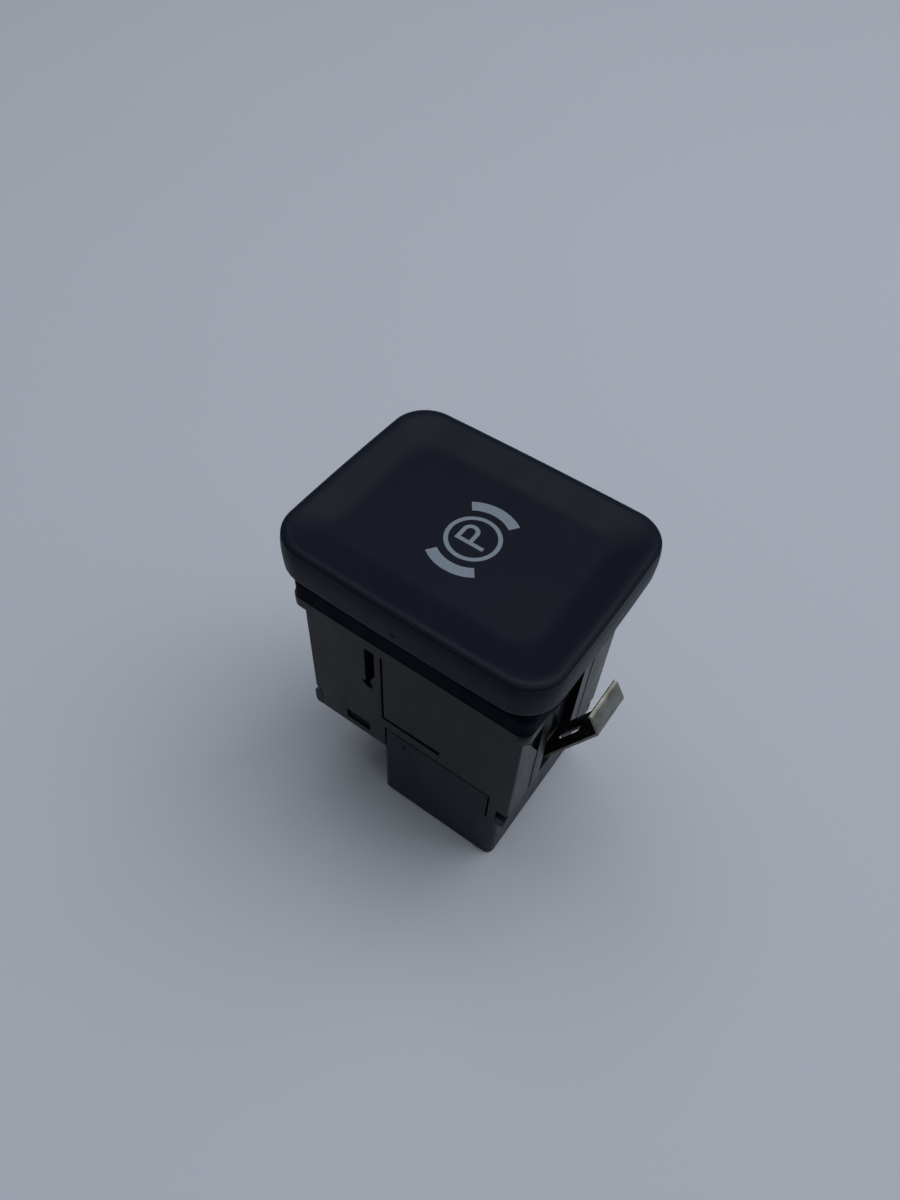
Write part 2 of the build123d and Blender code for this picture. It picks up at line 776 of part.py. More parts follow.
def make_clip():
    """Spring-steel strip at the lower short wall: hooked foot, leaning arm and turned-in lip."""
    foot_z = connector_height + clip_foot_z
    arm_low_z = connector_height + clip_arm_low
    arm_high_z = connector_height + clip_arm_high
    root_y = low_floor - clip_root_gap - clip_sheet / 2
    bend_y = housing_low_y - clip_arm_out
    lean = (root_y - bend_y) / (arm_high_z - foot_z)
    tip = (bend_y + clip_lip_in, arm_high_z + clip_lip_rise)
    points = [
        (root_y + clip_foot_in + clip_sheet, foot_z - clip_hook_drop),
        (root_y + clip_foot_in + clip_sheet, foot_z),
        (root_y, foot_z),
        (bend_y, arm_high_z),
        tip,
        (tip[0] + clip_curl, tip[1] + clip_curl / 2),
    ]
    path = FilletPolyline(*[(0, y, z) for y, z in points], 
                          radius=[clip_bend, clip_bend, clip_nose, clip_bend])
    section = Plane(origin=path @ 0, z_dir=path % 0, x_dir=(1, 0, 0)) * Rectangle(clip_width, clip_sheet)
    strip = sweep(section, path=path)
    slot_low = arm_low_z + (arm_high_z - arm_low_z) * clip_slot_low
    slot_high = arm_low_z + (arm_high_z - arm_low_z) * clip_slot_high
    slot_mid = (slot_low + slot_high) / 2
    slot_y = root_y - lean * (slot_mid - foot_z)
    tilt = math.degrees(math.atan(lean))
    length = (slot_high - slot_low) / math.cos(math.radians(tilt))
    opening = extrude(SlotOverall(length, clip_slot_width, rotation=90), 2, both=True)
    return strip - Pos(0, slot_y, slot_mid) * Rot(tilt, 0, 0) * Rot(90, 0, 0) * opening


def write(name, shape):
    """Write one node."""
    shape.label = name
    export_step(shape, os.path.join("parts", name + ".step"))


def main():
    """Build every node and write it."""
    os.makedirs("parts", exist_ok=True)
    write("cap", make_cap())
    write("symbol_window", make_symbol_window())
    write("light_guide", make_light_guide())
    write("slider", make_slider())
    write("guide_collar", make_guide_collar())
    write("housing", make_housing())
    write("rear_cover", make_rear_cover())
    write("circuit_board", make_board())
    for number, (x, y) in enumerate(pin_places(), start=1):
        write(f"terminal_{number}", make_terminal(x, y))
    for side, sign in (("lower", -1), ("upper", 1)):
        write(f"microswitch_{side}", make_microswitch(sign))
        write(f"microswitch_button_{side}", make_button(sign))
    for side, sign in (("left", -1), ("right", 1)):
        write(f"lamp_{side}", make_lamp(sign * lamp_x))
        write(f"return_spring_{side}", make_spring(sign * spring_x))
    for number in range(resistor_count):
        x = (number - (resistor_count - 1) / 2) * resistor_pitch
        write(f"resistor_{number + 1}", make_resistor(x))
    lower, upper = both_y(make_clip())
    write("lower_clip", lower)
    write("upper_clip", upper)


main()
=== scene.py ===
"""Looks of a parking brake push switch: finishes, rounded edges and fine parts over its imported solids."""
import logging
import math
from dataclasses import dataclass
from enum import Enum

import bmesh
import bpy
from mathutils import Matrix, Vector
from mathutils.geometry import delaunay_2d_cdt


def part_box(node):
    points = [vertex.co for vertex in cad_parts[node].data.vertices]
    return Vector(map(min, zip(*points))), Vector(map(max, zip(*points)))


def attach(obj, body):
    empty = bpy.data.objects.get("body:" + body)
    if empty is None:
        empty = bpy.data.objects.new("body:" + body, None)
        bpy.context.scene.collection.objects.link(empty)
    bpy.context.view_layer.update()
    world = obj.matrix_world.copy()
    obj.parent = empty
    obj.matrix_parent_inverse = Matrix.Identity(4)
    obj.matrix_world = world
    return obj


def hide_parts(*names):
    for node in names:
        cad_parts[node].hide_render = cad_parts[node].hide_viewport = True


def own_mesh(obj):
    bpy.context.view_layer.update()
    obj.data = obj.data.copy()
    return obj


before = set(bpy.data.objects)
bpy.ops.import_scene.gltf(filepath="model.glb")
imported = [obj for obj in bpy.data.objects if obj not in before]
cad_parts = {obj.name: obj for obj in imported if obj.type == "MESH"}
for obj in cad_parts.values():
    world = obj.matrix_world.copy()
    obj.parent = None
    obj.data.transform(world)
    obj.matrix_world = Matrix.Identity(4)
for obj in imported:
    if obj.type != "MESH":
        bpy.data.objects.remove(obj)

log = logging.getLogger("switch")
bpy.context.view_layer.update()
MM = 0.001
TERMINALS = range(1, 11)
RESISTORS = range(1, 5)
MERGE_GAP = 0.0008 * MM  # corners of a built mesh that are nearer than this become one
FILL_GAP = 1e-9  # the same for the corners of a flat region
ALL_TRIANGLES = 0  # the fill's output type that keeps the triangles in every loop
BY_AREA_ALONE = 100  # the weight at which only the faces' areas count
Colour = tuple[float, float, float]
Triple = tuple[float, float, float]
Point2 = tuple[float, float]
Loop = list[Point2]


class Shading(Enum):
    """How a finished mesh is shaded."""

    SMOOTH = "smooth"
    BY_ANGLE = "by_angle"


class Hold(Enum):
    """The body that a piece moves with."""

    BASE = "base"
    BUTTON = "button"
    CLIP_LOW = "lower_clip"
    CLIP_HIGH = "upper_clip"


# Meshes


def link_mesh(name: str, mesh: bpy.types.Mesh) -> bpy.types.Object:
    """Put a mesh into the scene as an object at the origin.

    Args:
        name: The piece's name.
        mesh: Its mesh, in metres, in place.

    Returns:
        The new object.
    """
    piece = bpy.data.objects.new(name, mesh)
    bpy.context.scene.collection.objects.link(piece)
    return piece


def shade(mesh: bpy.types.Mesh, how: Shading, degrees: float = 32.0) -> None:
    """Shade a mesh smooth, with edges over an angle kept sharp if asked.

    Args:
        mesh: The mesh to shade.
        how: Smooth all over, or by angle.
        degrees: The angle over which an edge stays sharp.
    """
    mesh.polygons.foreach_set("use_smooth", [True] * len(mesh.polygons))
    if how is Shading.BY_ANGLE:
        mesh.set_sharp_from_angle(angle=math.radians(degrees))
    mesh.update()


def piece_from(bm: bmesh.types.BMesh, name: str, sharp: float = 32.0) -> bpy.types.Object:
    """Close a bmesh into a piece with merged doubles, outward faces and sharp edges.

    Args:
        bm: The bmesh, freed here.
        name: The piece's name.
        sharp: The angle over which an edge stays sharp, in degrees.

    Returns:
        The piece.
    """
    bmesh.ops.remove_doubles(bm, verts=bm.verts, dist=MERGE_GAP)
    bmesh.ops.recalc_face_normals(bm, faces=bm.faces)
    mesh = bpy.data.meshes.new(name)
    bm.to_mesh(mesh)
    bm.free()
    shade(mesh, Shading.BY_ANGLE, sharp)
    return link_mesh(name, mesh)


def apply_modifiers(piece: bpy.types.Object) -> None:
    """Turn a piece with its modifiers into a plain mesh.

    Args:
        piece: The object with modifiers.
    """
    graph = bpy.context.evaluated_depsgraph_get()
    mesh = bpy.data.meshes.new_from_object(piece.evaluated_get(graph))
    piece.modifiers.clear()
    piece.data = mesh


def settle(piece: bpy.types.Object, finish: bpy.types.Material, hold: Hold,
           nodes: tuple[str, ...] = ()) -> None:
    """Dress a finished piece and fasten it to its body.

    Args:
        piece: The object, in place.
        finish: Its material.
        hold: The body that carries it.
        nodes: The solids that it stands for.
    """
    piece.data.materials.clear()
    piece.data.materials.append(finish)
    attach(piece, hold.value)
    if nodes:
        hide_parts(*nodes)
    log.info("%s: %d faces", piece.name, len(piece.data.polygons))


def rounded_ring(half: Point2, middle: Point2, corner: float, z: float, bow: float = 0.0,
                 corner_steps: int = 18, side_steps: int = 12) -> list[Vector]:
    """Points round a rectangle with rounded corners, as many on every ring of the same steps.

    Args:
        half: Half its width and half its length.
        middle: Its centre.
        corner: The corners' radius.
        z: Its height.
        bow: How far the middle of each side stands out from the corners.
        corner_steps: Steps round each corner.
        side_steps: Steps along each side.

    Returns:
        The points, anticlockwise from above.
    """
    hx, hy = half
    arcs: list[Loop] = []
    for index, (sx, sy) in enumerate(((1, 1), (-1, 1), (-1, -1), (1, -1))):
        angles = [(index + step / corner_steps) * math.pi / 2 for step in range(corner_steps + 1)]
        arcs.append([(sx * (hx - corner) + corner * math.cos(angle),
                      sy * (hy - corner) + corner * math.sin(angle)) for angle in angles])
    points: Loop = []
    for arc, following in zip(arcs, arcs[1:] + arcs[:1]):
        (x1, y1), (x2, y2) = arc[-1], following[0]
        side = [(x1 + (x2 - x1) * share, y1 + (y2 - y1) * share) for share in shares(side_steps)[:-1]]
        points += arc + side
    ring = []
    for x, y in points:
        bent_x = x * (1 - bow / hx * (y / hy) ** 2)
        bent_y = y * (1 - bow / hy * (x / hx) ** 2)
        ring.append(Vector((bent_x + middle[0], bent_y + middle[1], z)))
    return ring


def shares(count: int) -> list[float]:
    """The ends of even steps from 0 to 1, without the 0."""
    return [step / count for step in range(1, count + 1)]


def bridge(bm: bmesh.types.BMesh, rings: list[list[Vector]]) -> list[list[bmesh.types.BMVert]]:
    """Join rings of equal count with quads.

    Args:
        bm: The bmesh to build in.
        rings: The rings' points in order.

    Returns:
        The rings' vertices.
    """
    made = [[bm.verts.new(point) for point in ring] for ring in rings]
    count = len(rings[0])
    for lower, upper in zip(made, made[1:]):
        for index in range(count):
            after = (index + 1) % count
            bm.faces.new((lower[index], lower[after], upper[after], upper[index]))
    return made


def inside(point: Point2, loop: Loop) -> bool:
    """Whether a point lies in a closed loop.

    Args:
        point: The point.
        loop: The loop's corners.

    Returns:
        True if it does.
    """
    x, y = point
    within = False
    for (x1, y1), (x2, y2) in zip(loop, loop[1:] + loop[:1]):
        if (y1 > y) != (y2 > y) and x < (x2 - x1) * (y - y1) / (y2 - y1) + x1:
            within = not within
    return within


def fill_between(bm: bmesh.types.BMesh, loops: list[Loop], z: float) -> None:
    """Fill a flat region bounded by nested loops, wherever an odd number of them surrounds a point.

    Args:
        bm: The bmesh to build in.
        loops: All the loops, none crossing another.
        z: The region's height.
    """
    coordinates: list[Vector] = []
    edges: list[tuple[int, int]] = []
    for loop in loops:
        first = len(coordinates)
        coordinates.extend(Vector(point) for point in loop)
        edges.extend((first + i, first + (i + 1) % len(loop)) for i in range(len(loop)))
    verts, _, faces, *_ = delaunay_2d_cdt(coordinates, edges, [], ALL_TRIANGLES, FILL_GAP)
    made = [bm.verts.new((v.x, v.y, z)) for v in verts]
    for face in faces:
        centre = sum((verts[i] for i in face), Vector((0, 0))) / len(face)
        depth = sum(inside((centre.x, centre.y), loop) for loop in loops)
        if depth % 2:
            bm.faces.new([made[i] for i in face])
    loose = [v for v in made if not v.link_faces]
    bmesh.ops.delete(bm, geom=loose, context="VERTS")


def wall(bm: bmesh.types.BMesh, loop: Loop, low: float, high: float) -> None:
    """Upright walls along a loop, from a lower height to a higher one."""
    bridge(bm, [[Vector((x, y, low)) for x, y in loop], [Vector((x, y, high)) for x, y in loop]])


# Finishes


@dataclass(frozen=True)
class Texture:
    """A noise on a surface. Sizes and depths are in metres.

    Args:
        size: Size of its features.
        detail: Octaves of finer features.
        depth: How deep it is, or 0 where it can't be felt.
        strength: Share of that depth's effect.
        run: Stretch along X, Y and Z.
    """

    size: float
    detail: float = 2.0
    depth: float = 0.0
    strength: float = 1.0
    run: Triple = (1.0, 1.0, 1.0)


class Nodes:
    """Short calls on a node tree, for the finishes, the repeated forms and the sky."""

    def __init__(self, tree: bpy.types.NodeTree) -> None:
        """Take a tree and empty it."""
        self.tree = tree
        self.tree.nodes.clear()

    def put(self, node: bpy.types.Node, **inputs: object) -> None:
        """Set or link a node's inputs, named with underscores for spaces.

        Args:
            node: The node.
            inputs: For each input a constant, or another node's output.
        """
        for name, value in inputs.items():
            socket = node.inputs[name.replace("_", " ")]
            if isinstance(value, bpy.types.NodeSocket):
                self.tree.links.new(value, socket)
            else:
                socket.default_value = (*value, 1.0) if socket.type == "RGBA" else value

    def add(self, kind: str, **inputs: object) -> bpy.types.Node:
        """Add a node and set or link its inputs.

        Args:
            kind: The node's type.
            inputs: As for put.

        Returns:
            The node.
        """
        node = self.tree.nodes.new(kind)
        self.put(node, **inputs)
        return node


class Graph(Nodes):
    """A material's node tree, with what the finishes share."""

    def __init__(self, name: str) -> None:
        """Start a tree with a shader and an output.

        Args:
            name: The material's name.
        """
        self.material = bpy.data.materials.new(name)
        self.material.use_nodes = True
        super().__init__(self.material.node_tree)
        self.shader = self.add("ShaderNodeBsdfPrincipled")
        self.add("ShaderNodeOutputMaterial", Surface=self.shader.outputs["BSDF"])
        self.place = self.add("ShaderNodeTexCoord").outputs["Object"]

    def noise(self, texture: Texture) -> bpy.types.NodeSocket:
        """A noise on the piece's own coordinates.

        Args:
            texture: Its size, detail and stretch.

        Returns:
            The noise's value.
        """
        where = self.add("ShaderNodeMapping", Scale=texture.run, Vector=self.place).outputs["Vector"]
        node = self.add("ShaderNodeTexNoise", Scale=1.0 / texture.size, Detail=texture.detail, Vector=where)
        return node.outputs["Fac"]

    def span(self, source: bpy.types.NodeSocket, low: float = 0.0, high: float = 1.0,
             floor: float = 0.3, ceiling: float = 0.7) -> bpy.types.NodeSocket:
        """A value mapped from one span to another.

        Args:
            source: The value.
            low: What it becomes at the floor.
            high: What it becomes at the ceiling.
            floor: Lower end of the source's span.
            ceiling: Upper end of the source's span.

        Returns:
            The mapped value.
        """
        node = self.add("ShaderNodeMapRange", Value=source, From_Min=floor, From_Max=ceiling,
                        To_Min=low, To_Max=high)
        return node.outputs["Result"]

    def blend(self, factor: bpy.types.NodeSocket, first: Colour, second: Colour) -> bpy.types.NodeSocket:
        """A mix of two colours.

        Args:
            factor: Share of the second.
            first: The one colour.
            second: The other colour.

        Returns:
            The mixed colour.
        """
        node = self.add("ShaderNodeMix", Factor=factor)
        node.data_type = "RGBA"
        sockets = [socket for socket in node.inputs if socket.type == "RGBA"]
        for socket, colour in zip(sockets, (first, second)):
            socket.default_value = (*colour, 1.0)
        return [socket for socket in node.outputs if socket.type == "RGBA"][0]

    def bump(self, height: bpy.types.NodeSocket, texture: Texture,
             under: bpy.types.NodeSocket | None = None) -> bpy.types.NodeSocket:
        """A bump from a height.

        Args:
            height: The height, from 0 to 1.
            texture: Its depth and strength.
            under: A bump that lies below this one.

        Returns:
            The normal.
        """
        node = self.add("ShaderNodeBump", Height=height, Distance=texture.depth, Strength=texture.strength)
        if under is not None:
            self.put(node, Normal=under)
        return node.outputs["Normal"]


@dataclass(frozen=True)
class Finish:
    """A surface in two close colours, with marks under a fine grain.

    Args:
        name: The finish's name.
        colour: Its main colour.
        other: Its colour where it is paler, cloudier, duller or over copper.
        roughness: Mean roughness.
        gloss: Specular level.
        swing: How far the roughness goes below and above its mean.
        patch: The patches of the other colour.
        marks: Flow, wiping or rolling marks, which the roughness follows.
        grain: The grain on top.
        metal: 1 for bare metal.
    """

    name: str
    colour: Colour
    other: Colour
    roughness: float = 0.4
    gloss: float = 0.5
    swing: Point2 = (0.0, 0.0)
    patch: Texture = Texture(MM)
    marks: Texture = Texture(MM)
    grain: Texture = Texture(MM)
    metal: float = 0.0

    def pattern(self, g: Graph) -> bpy.types.NodeSocket:
        """Where the other colour lies."""
        return g.span(g.noise(self.patch))

    def relief(self, g: Graph) -> bpy.types.NodeSocket | None:
        """The marks with the grain over them.

        Args:
            g: The material's tree.

        Returns:
            The normal, or None where nothing can be felt.
        """
        normal = None
        if self.marks.depth:
            normal = g.bump(g.span(g.noise(self.marks)), self.marks)
        if self.grain.depth:
            normal = g.bump(g.noise(self.grain), self.grain, normal)
        return normal

    def shine(self) -> dict[str, float | Colour]:
        """The shader's constants."""
        return {"Specular_IOR_Level": self.gloss, "Metallic": self.metal, "Roughness": self.roughness}

    def build(self) -> bpy.types.Material:
        """Build the material.

        Returns:
            The material.
        """
        g = Graph(self.name)
        below, above = self.swing
        g.put(g.shader, Base_Color=g.blend(self.pattern(g), self.colour, self.other), **self.shine())
        if below or above:
            worn = g.span(g.noise(self.marks), self.roughness - below, self.roughness + above)
            g.put(g.shader, Roughness=worn)
        normal = self.relief(g)
        if normal is not None:
            g.put(g.shader, Normal=normal)
        return g.material


@dataclass(frozen=True)
class MouldedPlastic(Finish):
    """Black moulded plastic with a fine spark-eroded grain and faint flow marks."""

    swing: Point2 = (0.05, 0.06)
    patch: Texture = Texture(6 * MM, 4.0)
    marks: Texture = Texture(2.2 * MM, 3.0, 0.006 * MM, 0.5, (1.0, 1.0, 0.25))
    grain: Texture = Texture(0.10 * MM, 2.0, 0.004 * MM, 0.8)


@dataclass(frozen=True)
class SoftTouchSkin(Finish):
    """Satin lacquer over the press cap, with an even fine grain and faint wiping marks.

    Args:
        sheen: Weight of the lacquer's soft sheen at a flat angle.
        spread: That sheen's roughness.
        haze: That sheen's colour.
    """

    roughness: float = 0.42
    gloss: float = 0.075
    swing: Point2 = (0.03, 0.05)
    patch: Texture = Texture(9 * MM, 3.0)
    marks: Texture = Texture(3.5 * MM, 4.0, run=(0.35, 1.0, 1.0))
    grain: Texture = Texture(0.09 * MM, 1.5, 0.0025 * MM, 0.7)
    sheen: float = 0.035
    spread: float = 0.35
    haze: Colour = (0.62, 0.80, 1.0)

    def shine(self) -> dict[str, float | Colour]:
        """The shader's constants, with the sheen's."""
        sheen = {"Sheen_Weight": self.sheen, "Sheen_Roughness": self.spread, "Sheen_Tint": self.haze}
        return super().shine() | sheen


@dataclass(frozen=True)
class TranslucentInlay(Finish):
    """Pale translucent plastic of the symbol, duller where it is cloudy."""

    roughness: float = 0.46
    gloss: float = 0.4
    swing: Point2 = (0.04, 0.04)
    patch: Texture = Texture(1.3 * MM, 3.0)
    marks: Texture = Texture(1.3 * MM, 3.0)
    grain: Texture = Texture(0.07 * MM, 2.0, 0.002 * MM, 0.6)


@dataclass(frozen=True)
class RolledSteel(Finish):
    """Spring steel strip with fine rolling marks and a thin oxide."""

    swing: Point2 = (0.08, 0.12)
    patch: Texture = Texture(2.4 * MM, 4.0)
    marks: Texture = Texture(0.12 * MM, 4.0, run=(1.0, 0.08, 0.08))
    grain: Texture = Texture(0.12 * MM, 4.0, 0.004 * MM, 0.6, (1.0, 0.08, 0.08))
    metal: float = 1.0


@dataclass(frozen=True)
class DrawnWire(RolledSteel):
    """Spring wire, with its marks along the wire."""

    marks: Texture = Texture(0.12 * MM, 4.0, run=(1.0, 1.0, 0.4))
    grain: Texture = Texture(0.12 * MM, 4.0, 0.004 * MM, 0.6, (1.0, 1.0, 0.4))


@dataclass(frozen=True)
class PlatedMetal(Finish):
    """Tinned metal of the terminals and their solder, rougher where it is dull."""

    roughness: float = 0.32
    swing: Point2 = (0.1, 0.1)
    patch: Texture = Texture(0.5 * MM, 4.0)
    marks: Texture = Texture(0.5 * MM, 4.0)
    grain: Texture = Texture(0.06 * MM, 2.0, 0.002 * MM, 0.5)
    metal: float = 1.0


@dataclass(frozen=True)
class ClearPlastic(Finish):
    """Clear moulded plastic of the light guide and the lamps' resin.

    Args:
        clear: Share of light let through.
        bend: Refractive index.
    """

    roughness: float = 0.07
    swing: Point2 = (0.03, 0.03)
    patch: Texture = Texture(4 * MM)
    marks: Texture = Texture(4 * MM)
    clear: float = 0.85
    bend: float = 1.49

    def shine(self) -> dict[str, float | Colour]:
        """The shader's constants, with the clearness."""
        return super().shine() | {"Transmission_Weight": self.clear, "IOR": self.bend}


@dataclass(frozen=True)
class BoardLacquer(Finish):
    """Green solder lacquer with the weave of the laminate and copper tracks under it.

    Args:
        tracks: The tracks' pitch, depth and strength.
        width: Share of the pitch that a track takes.
        softness: Softness of the tracks' edges.
    """

    roughness: float = 0.305
    swing: Point2 = (0.055, 0.055)
    marks: Texture = Texture(0.3 * MM, 2.0, 0.004 * MM, 0.5)
    tracks: Texture = Texture(5 * MM, depth=0.02 * MM, strength=0.7)
    width: float = 0.05
    softness: float = 0.1

    def pattern(self, g: Graph) -> bpy.types.NodeSocket:
        """Where the copper tracks lie.

        Args:
            g: The material's tree.

        Returns:
            1 on a track, or else 0.
        """
        brick = g.add("ShaderNodeTexBrick", Scale=1.0 / self.tracks.size, Mortar_Size=self.width,
                      Mortar_Smooth=self.softness, Vector=g.place)
        return brick.outputs["Fac"]

    def relief(self, g: Graph) -> bpy.types.NodeSocket:
        """The tracks over the weave."""
        return g.bump(self.pattern(g), self.tracks, g.bump(g.noise(self.marks), self.marks))


@dataclass(frozen=True)
class FloorPaper(Finish):
    """Plain pale paper of the floor."""

    roughness: float = 0.7
    gloss: float = 0.2
    patch: Texture = Texture(350 * MM)
    grain: Texture = Texture(1.2 * MM, 3.0, 0.04 * MM, 0.3)


class Finishes:
    """Every finish of the switch, built once."""

    def __init__(self) -> None:
        """Build the materials."""
        self.cap = SoftTouchSkin("cap_satin", (0.0040, 0.0054, 0.0110), (0.0048, 0.0063, 0.0122)).build()
        self.symbol = TranslucentInlay("symbol_white", (0.126, 0.158, 0.194), (0.117, 0.147, 0.181)).build()
        # Painted shade: the collar's near-black colour and low gloss stand for the shadow under the cap's
        # overhang, darker than the body's own plastic.
        self.collar = MouldedPlastic("collar_black_painted_shade", (0.0014, 0.0025, 0.0076), (0.0020, 0.0031, 0.0088),
                                     0.70, gloss=0.045).build()
        self.housing = MouldedPlastic("housing_black", (0.0079, 0.0094, 0.0124), (0.0097, 0.0114, 0.0147),
                                      0.31, gloss=0.12).build()
        self.cover = MouldedPlastic("cover_black", (0.0076, 0.0096, 0.0178), (0.0092, 0.0115, 0.0200),
                                    0.36, gloss=0.10).build()
        self.slider = MouldedPlastic("slider_black", (0.0100, 0.0106, 0.0120), (0.0120, 0.0127, 0.0144),
                                     0.42, gloss=0.2).build()
        self.switch = MouldedPlastic("switch_grey", (0.020, 0.020, 0.023), (0.026, 0.026, 0.030),
                                     0.45).build()
        self.button = MouldedPlastic("switch_button_ivory", (0.42, 0.40, 0.34), (0.46, 0.44, 0.38),
                                     0.4).build()
        self.ceramic = MouldedPlastic("resistor_glaze", (0.018, 0.018, 0.020), (0.024, 0.024, 0.026),
                                      0.25).build()
        self.clip = RolledSteel("clip_steel", (0.27, 0.272, 0.246), (0.140, 0.136, 0.114), 0.28).build()
        self.wire = DrawnWire("spring_wire", (0.42, 0.42, 0.42), (0.34, 0.33, 0.32), 0.25).build()
        self.tin = PlatedMetal("terminal_tin", (0.62, 0.60, 0.56), (0.48, 0.46, 0.43)).build()
        self.solder = PlatedMetal("solder", (0.66, 0.66, 0.66), (0.52, 0.52, 0.53)).build()
        self.clear = ClearPlastic("light_guide_clear", (0.86, 0.90, 0.92), (0.8256, 0.864, 0.8832)).build()
        self.resin = ClearPlastic("lamp_resin", (0.80, 0.72, 0.38), (0.768, 0.6912, 0.3648),
                                  clear=0.3).build()
        self.board = BoardLacquer("board_green", (0.012, 0.085, 0.032), (0.024, 0.13, 0.045)).build()


# Sub-assemblies


@dataclass
class Symbol:
    """Outlines of the brake symbol: a letter in a ring, between two shoes.

    Args:
        ring_radius: The ring's outer radius.
        ring_stroke: The ring's width.
        shoe_radius: The shoes' outer radius.
        shoe_band: The shoes' width.
        shoe_half: Half the angle of a shoe, in degrees.
        letter_height: The letter's height.
        letter_width: The letter's width.
        letter_bowl: The bowl's height.
        letter_left: The letter's left side, from the ring's centre.
        letter_stroke: The letter's stroke.
        centre: The ring's centre on the cap.
        shoe_steps: Steps along a shoe.
        bowl_steps: Steps round the letter's bowl.
        counter_steps: Steps round its counter.
        ring_steps: Steps round the ring, outside and inside.
    """

    ring_radius: float = 3.53 * MM
    ring_stroke: float = 0.56 * MM
    shoe_radius: float = 5.95 * MM
    shoe_band: float = 1.45 * MM
    shoe_half: float = 36.0
    letter_height: float = 3.95 * MM
    letter_width: float = 2.95 * MM
    letter_bowl: float = 2.3 * MM
    letter_left: float = -1.1 * MM
    letter_stroke: float = 0.56 * MM
    centre: Point2 = (0.0, -0.15 * MM)
    shoe_steps: int = 28
    bowl_steps: int = 24
    counter_steps: int = 20
    ring_steps: tuple[int, int] = (96, 84)

    def at(self, x: float, y: float) -> Point2:
        """A point of the symbol, given from the ring's centre, in the cap's frame."""
        return (self.centre[0] + x, self.centre[1] + y)

    def arc(self, middle: Point2, radius: float, start: float, end: float, steps: int) -> Loop:
        """Points along an arc, both ends included.

        Args:
            middle: The arc's centre, from the ring's.
            radius: Its radius.
            start: Its first angle in degrees.
            end: Its last angle in degrees.
            steps: How many steps it takes.

        Returns:
            The points.
        """
        points = []
        for step in range(steps + 1):
            angle = math.radians(start + (end - start) * step / steps)
            across = middle[0] + radius * math.cos(angle)
            points.append(self.at(across, middle[1] + radius * math.sin(angle)))
        return points

    def shoe(self, turn: float) -> Loop:
        """One brake shoe's outline.

        Args:
            turn: The shoe's middle, in degrees.

        Returns:
            The outline.
        """
        inner = self.shoe_radius - self.shoe_band
        start = turn - self.shoe_half
        end = turn + self.shoe_half
        outside = self.arc((0, 0), self.shoe_radius, start, end, self.shoe_steps)
        return outside + self.arc((0, 0), inner, end, start, self.shoe_steps)

    def letter(self) -> tuple[Loop, Loop]:
        """The letter on its stem.

        Returns:
            Its outline and its counter.
        """
        left = self.letter_left
        low = -self.letter_height / 2
        high = self.letter_height / 2
        radius = self.letter_bowl / 2
        bowl = (left + self.letter_width - radius, high - radius)
        stem = left + self.letter_stroke
        outline = [self.at(left, low), self.at(stem, low), self.at(stem, bowl[1] - radius)]
        outline += self.arc(bowl, radius, -90, 90, self.bowl_steps) + [self.at(left, high)]
        small = radius - self.letter_stroke
        counter = [self.at(stem, bowl[1] - small)] + self.arc(bowl, small, -90, 90, self.counter_steps)
        return outline, counter + [self.at(stem, bowl[1] + small)]

    def loops(self) -> list[Loop]:
        """Every closed outline of the symbol.

        Returns:
            The ring's two, the shoes' and the letter's.
        """
        radii = (self.ring_radius, self.ring_radius - self.ring_stroke)
        sides = zip(radii, self.ring_steps)
        ring = [self.arc((0, 0), radius, 0, 360, steps)[:-1] for radius, steps in sides]
        return [*ring, self.shoe(0), self.shoe(180), *self.letter()]


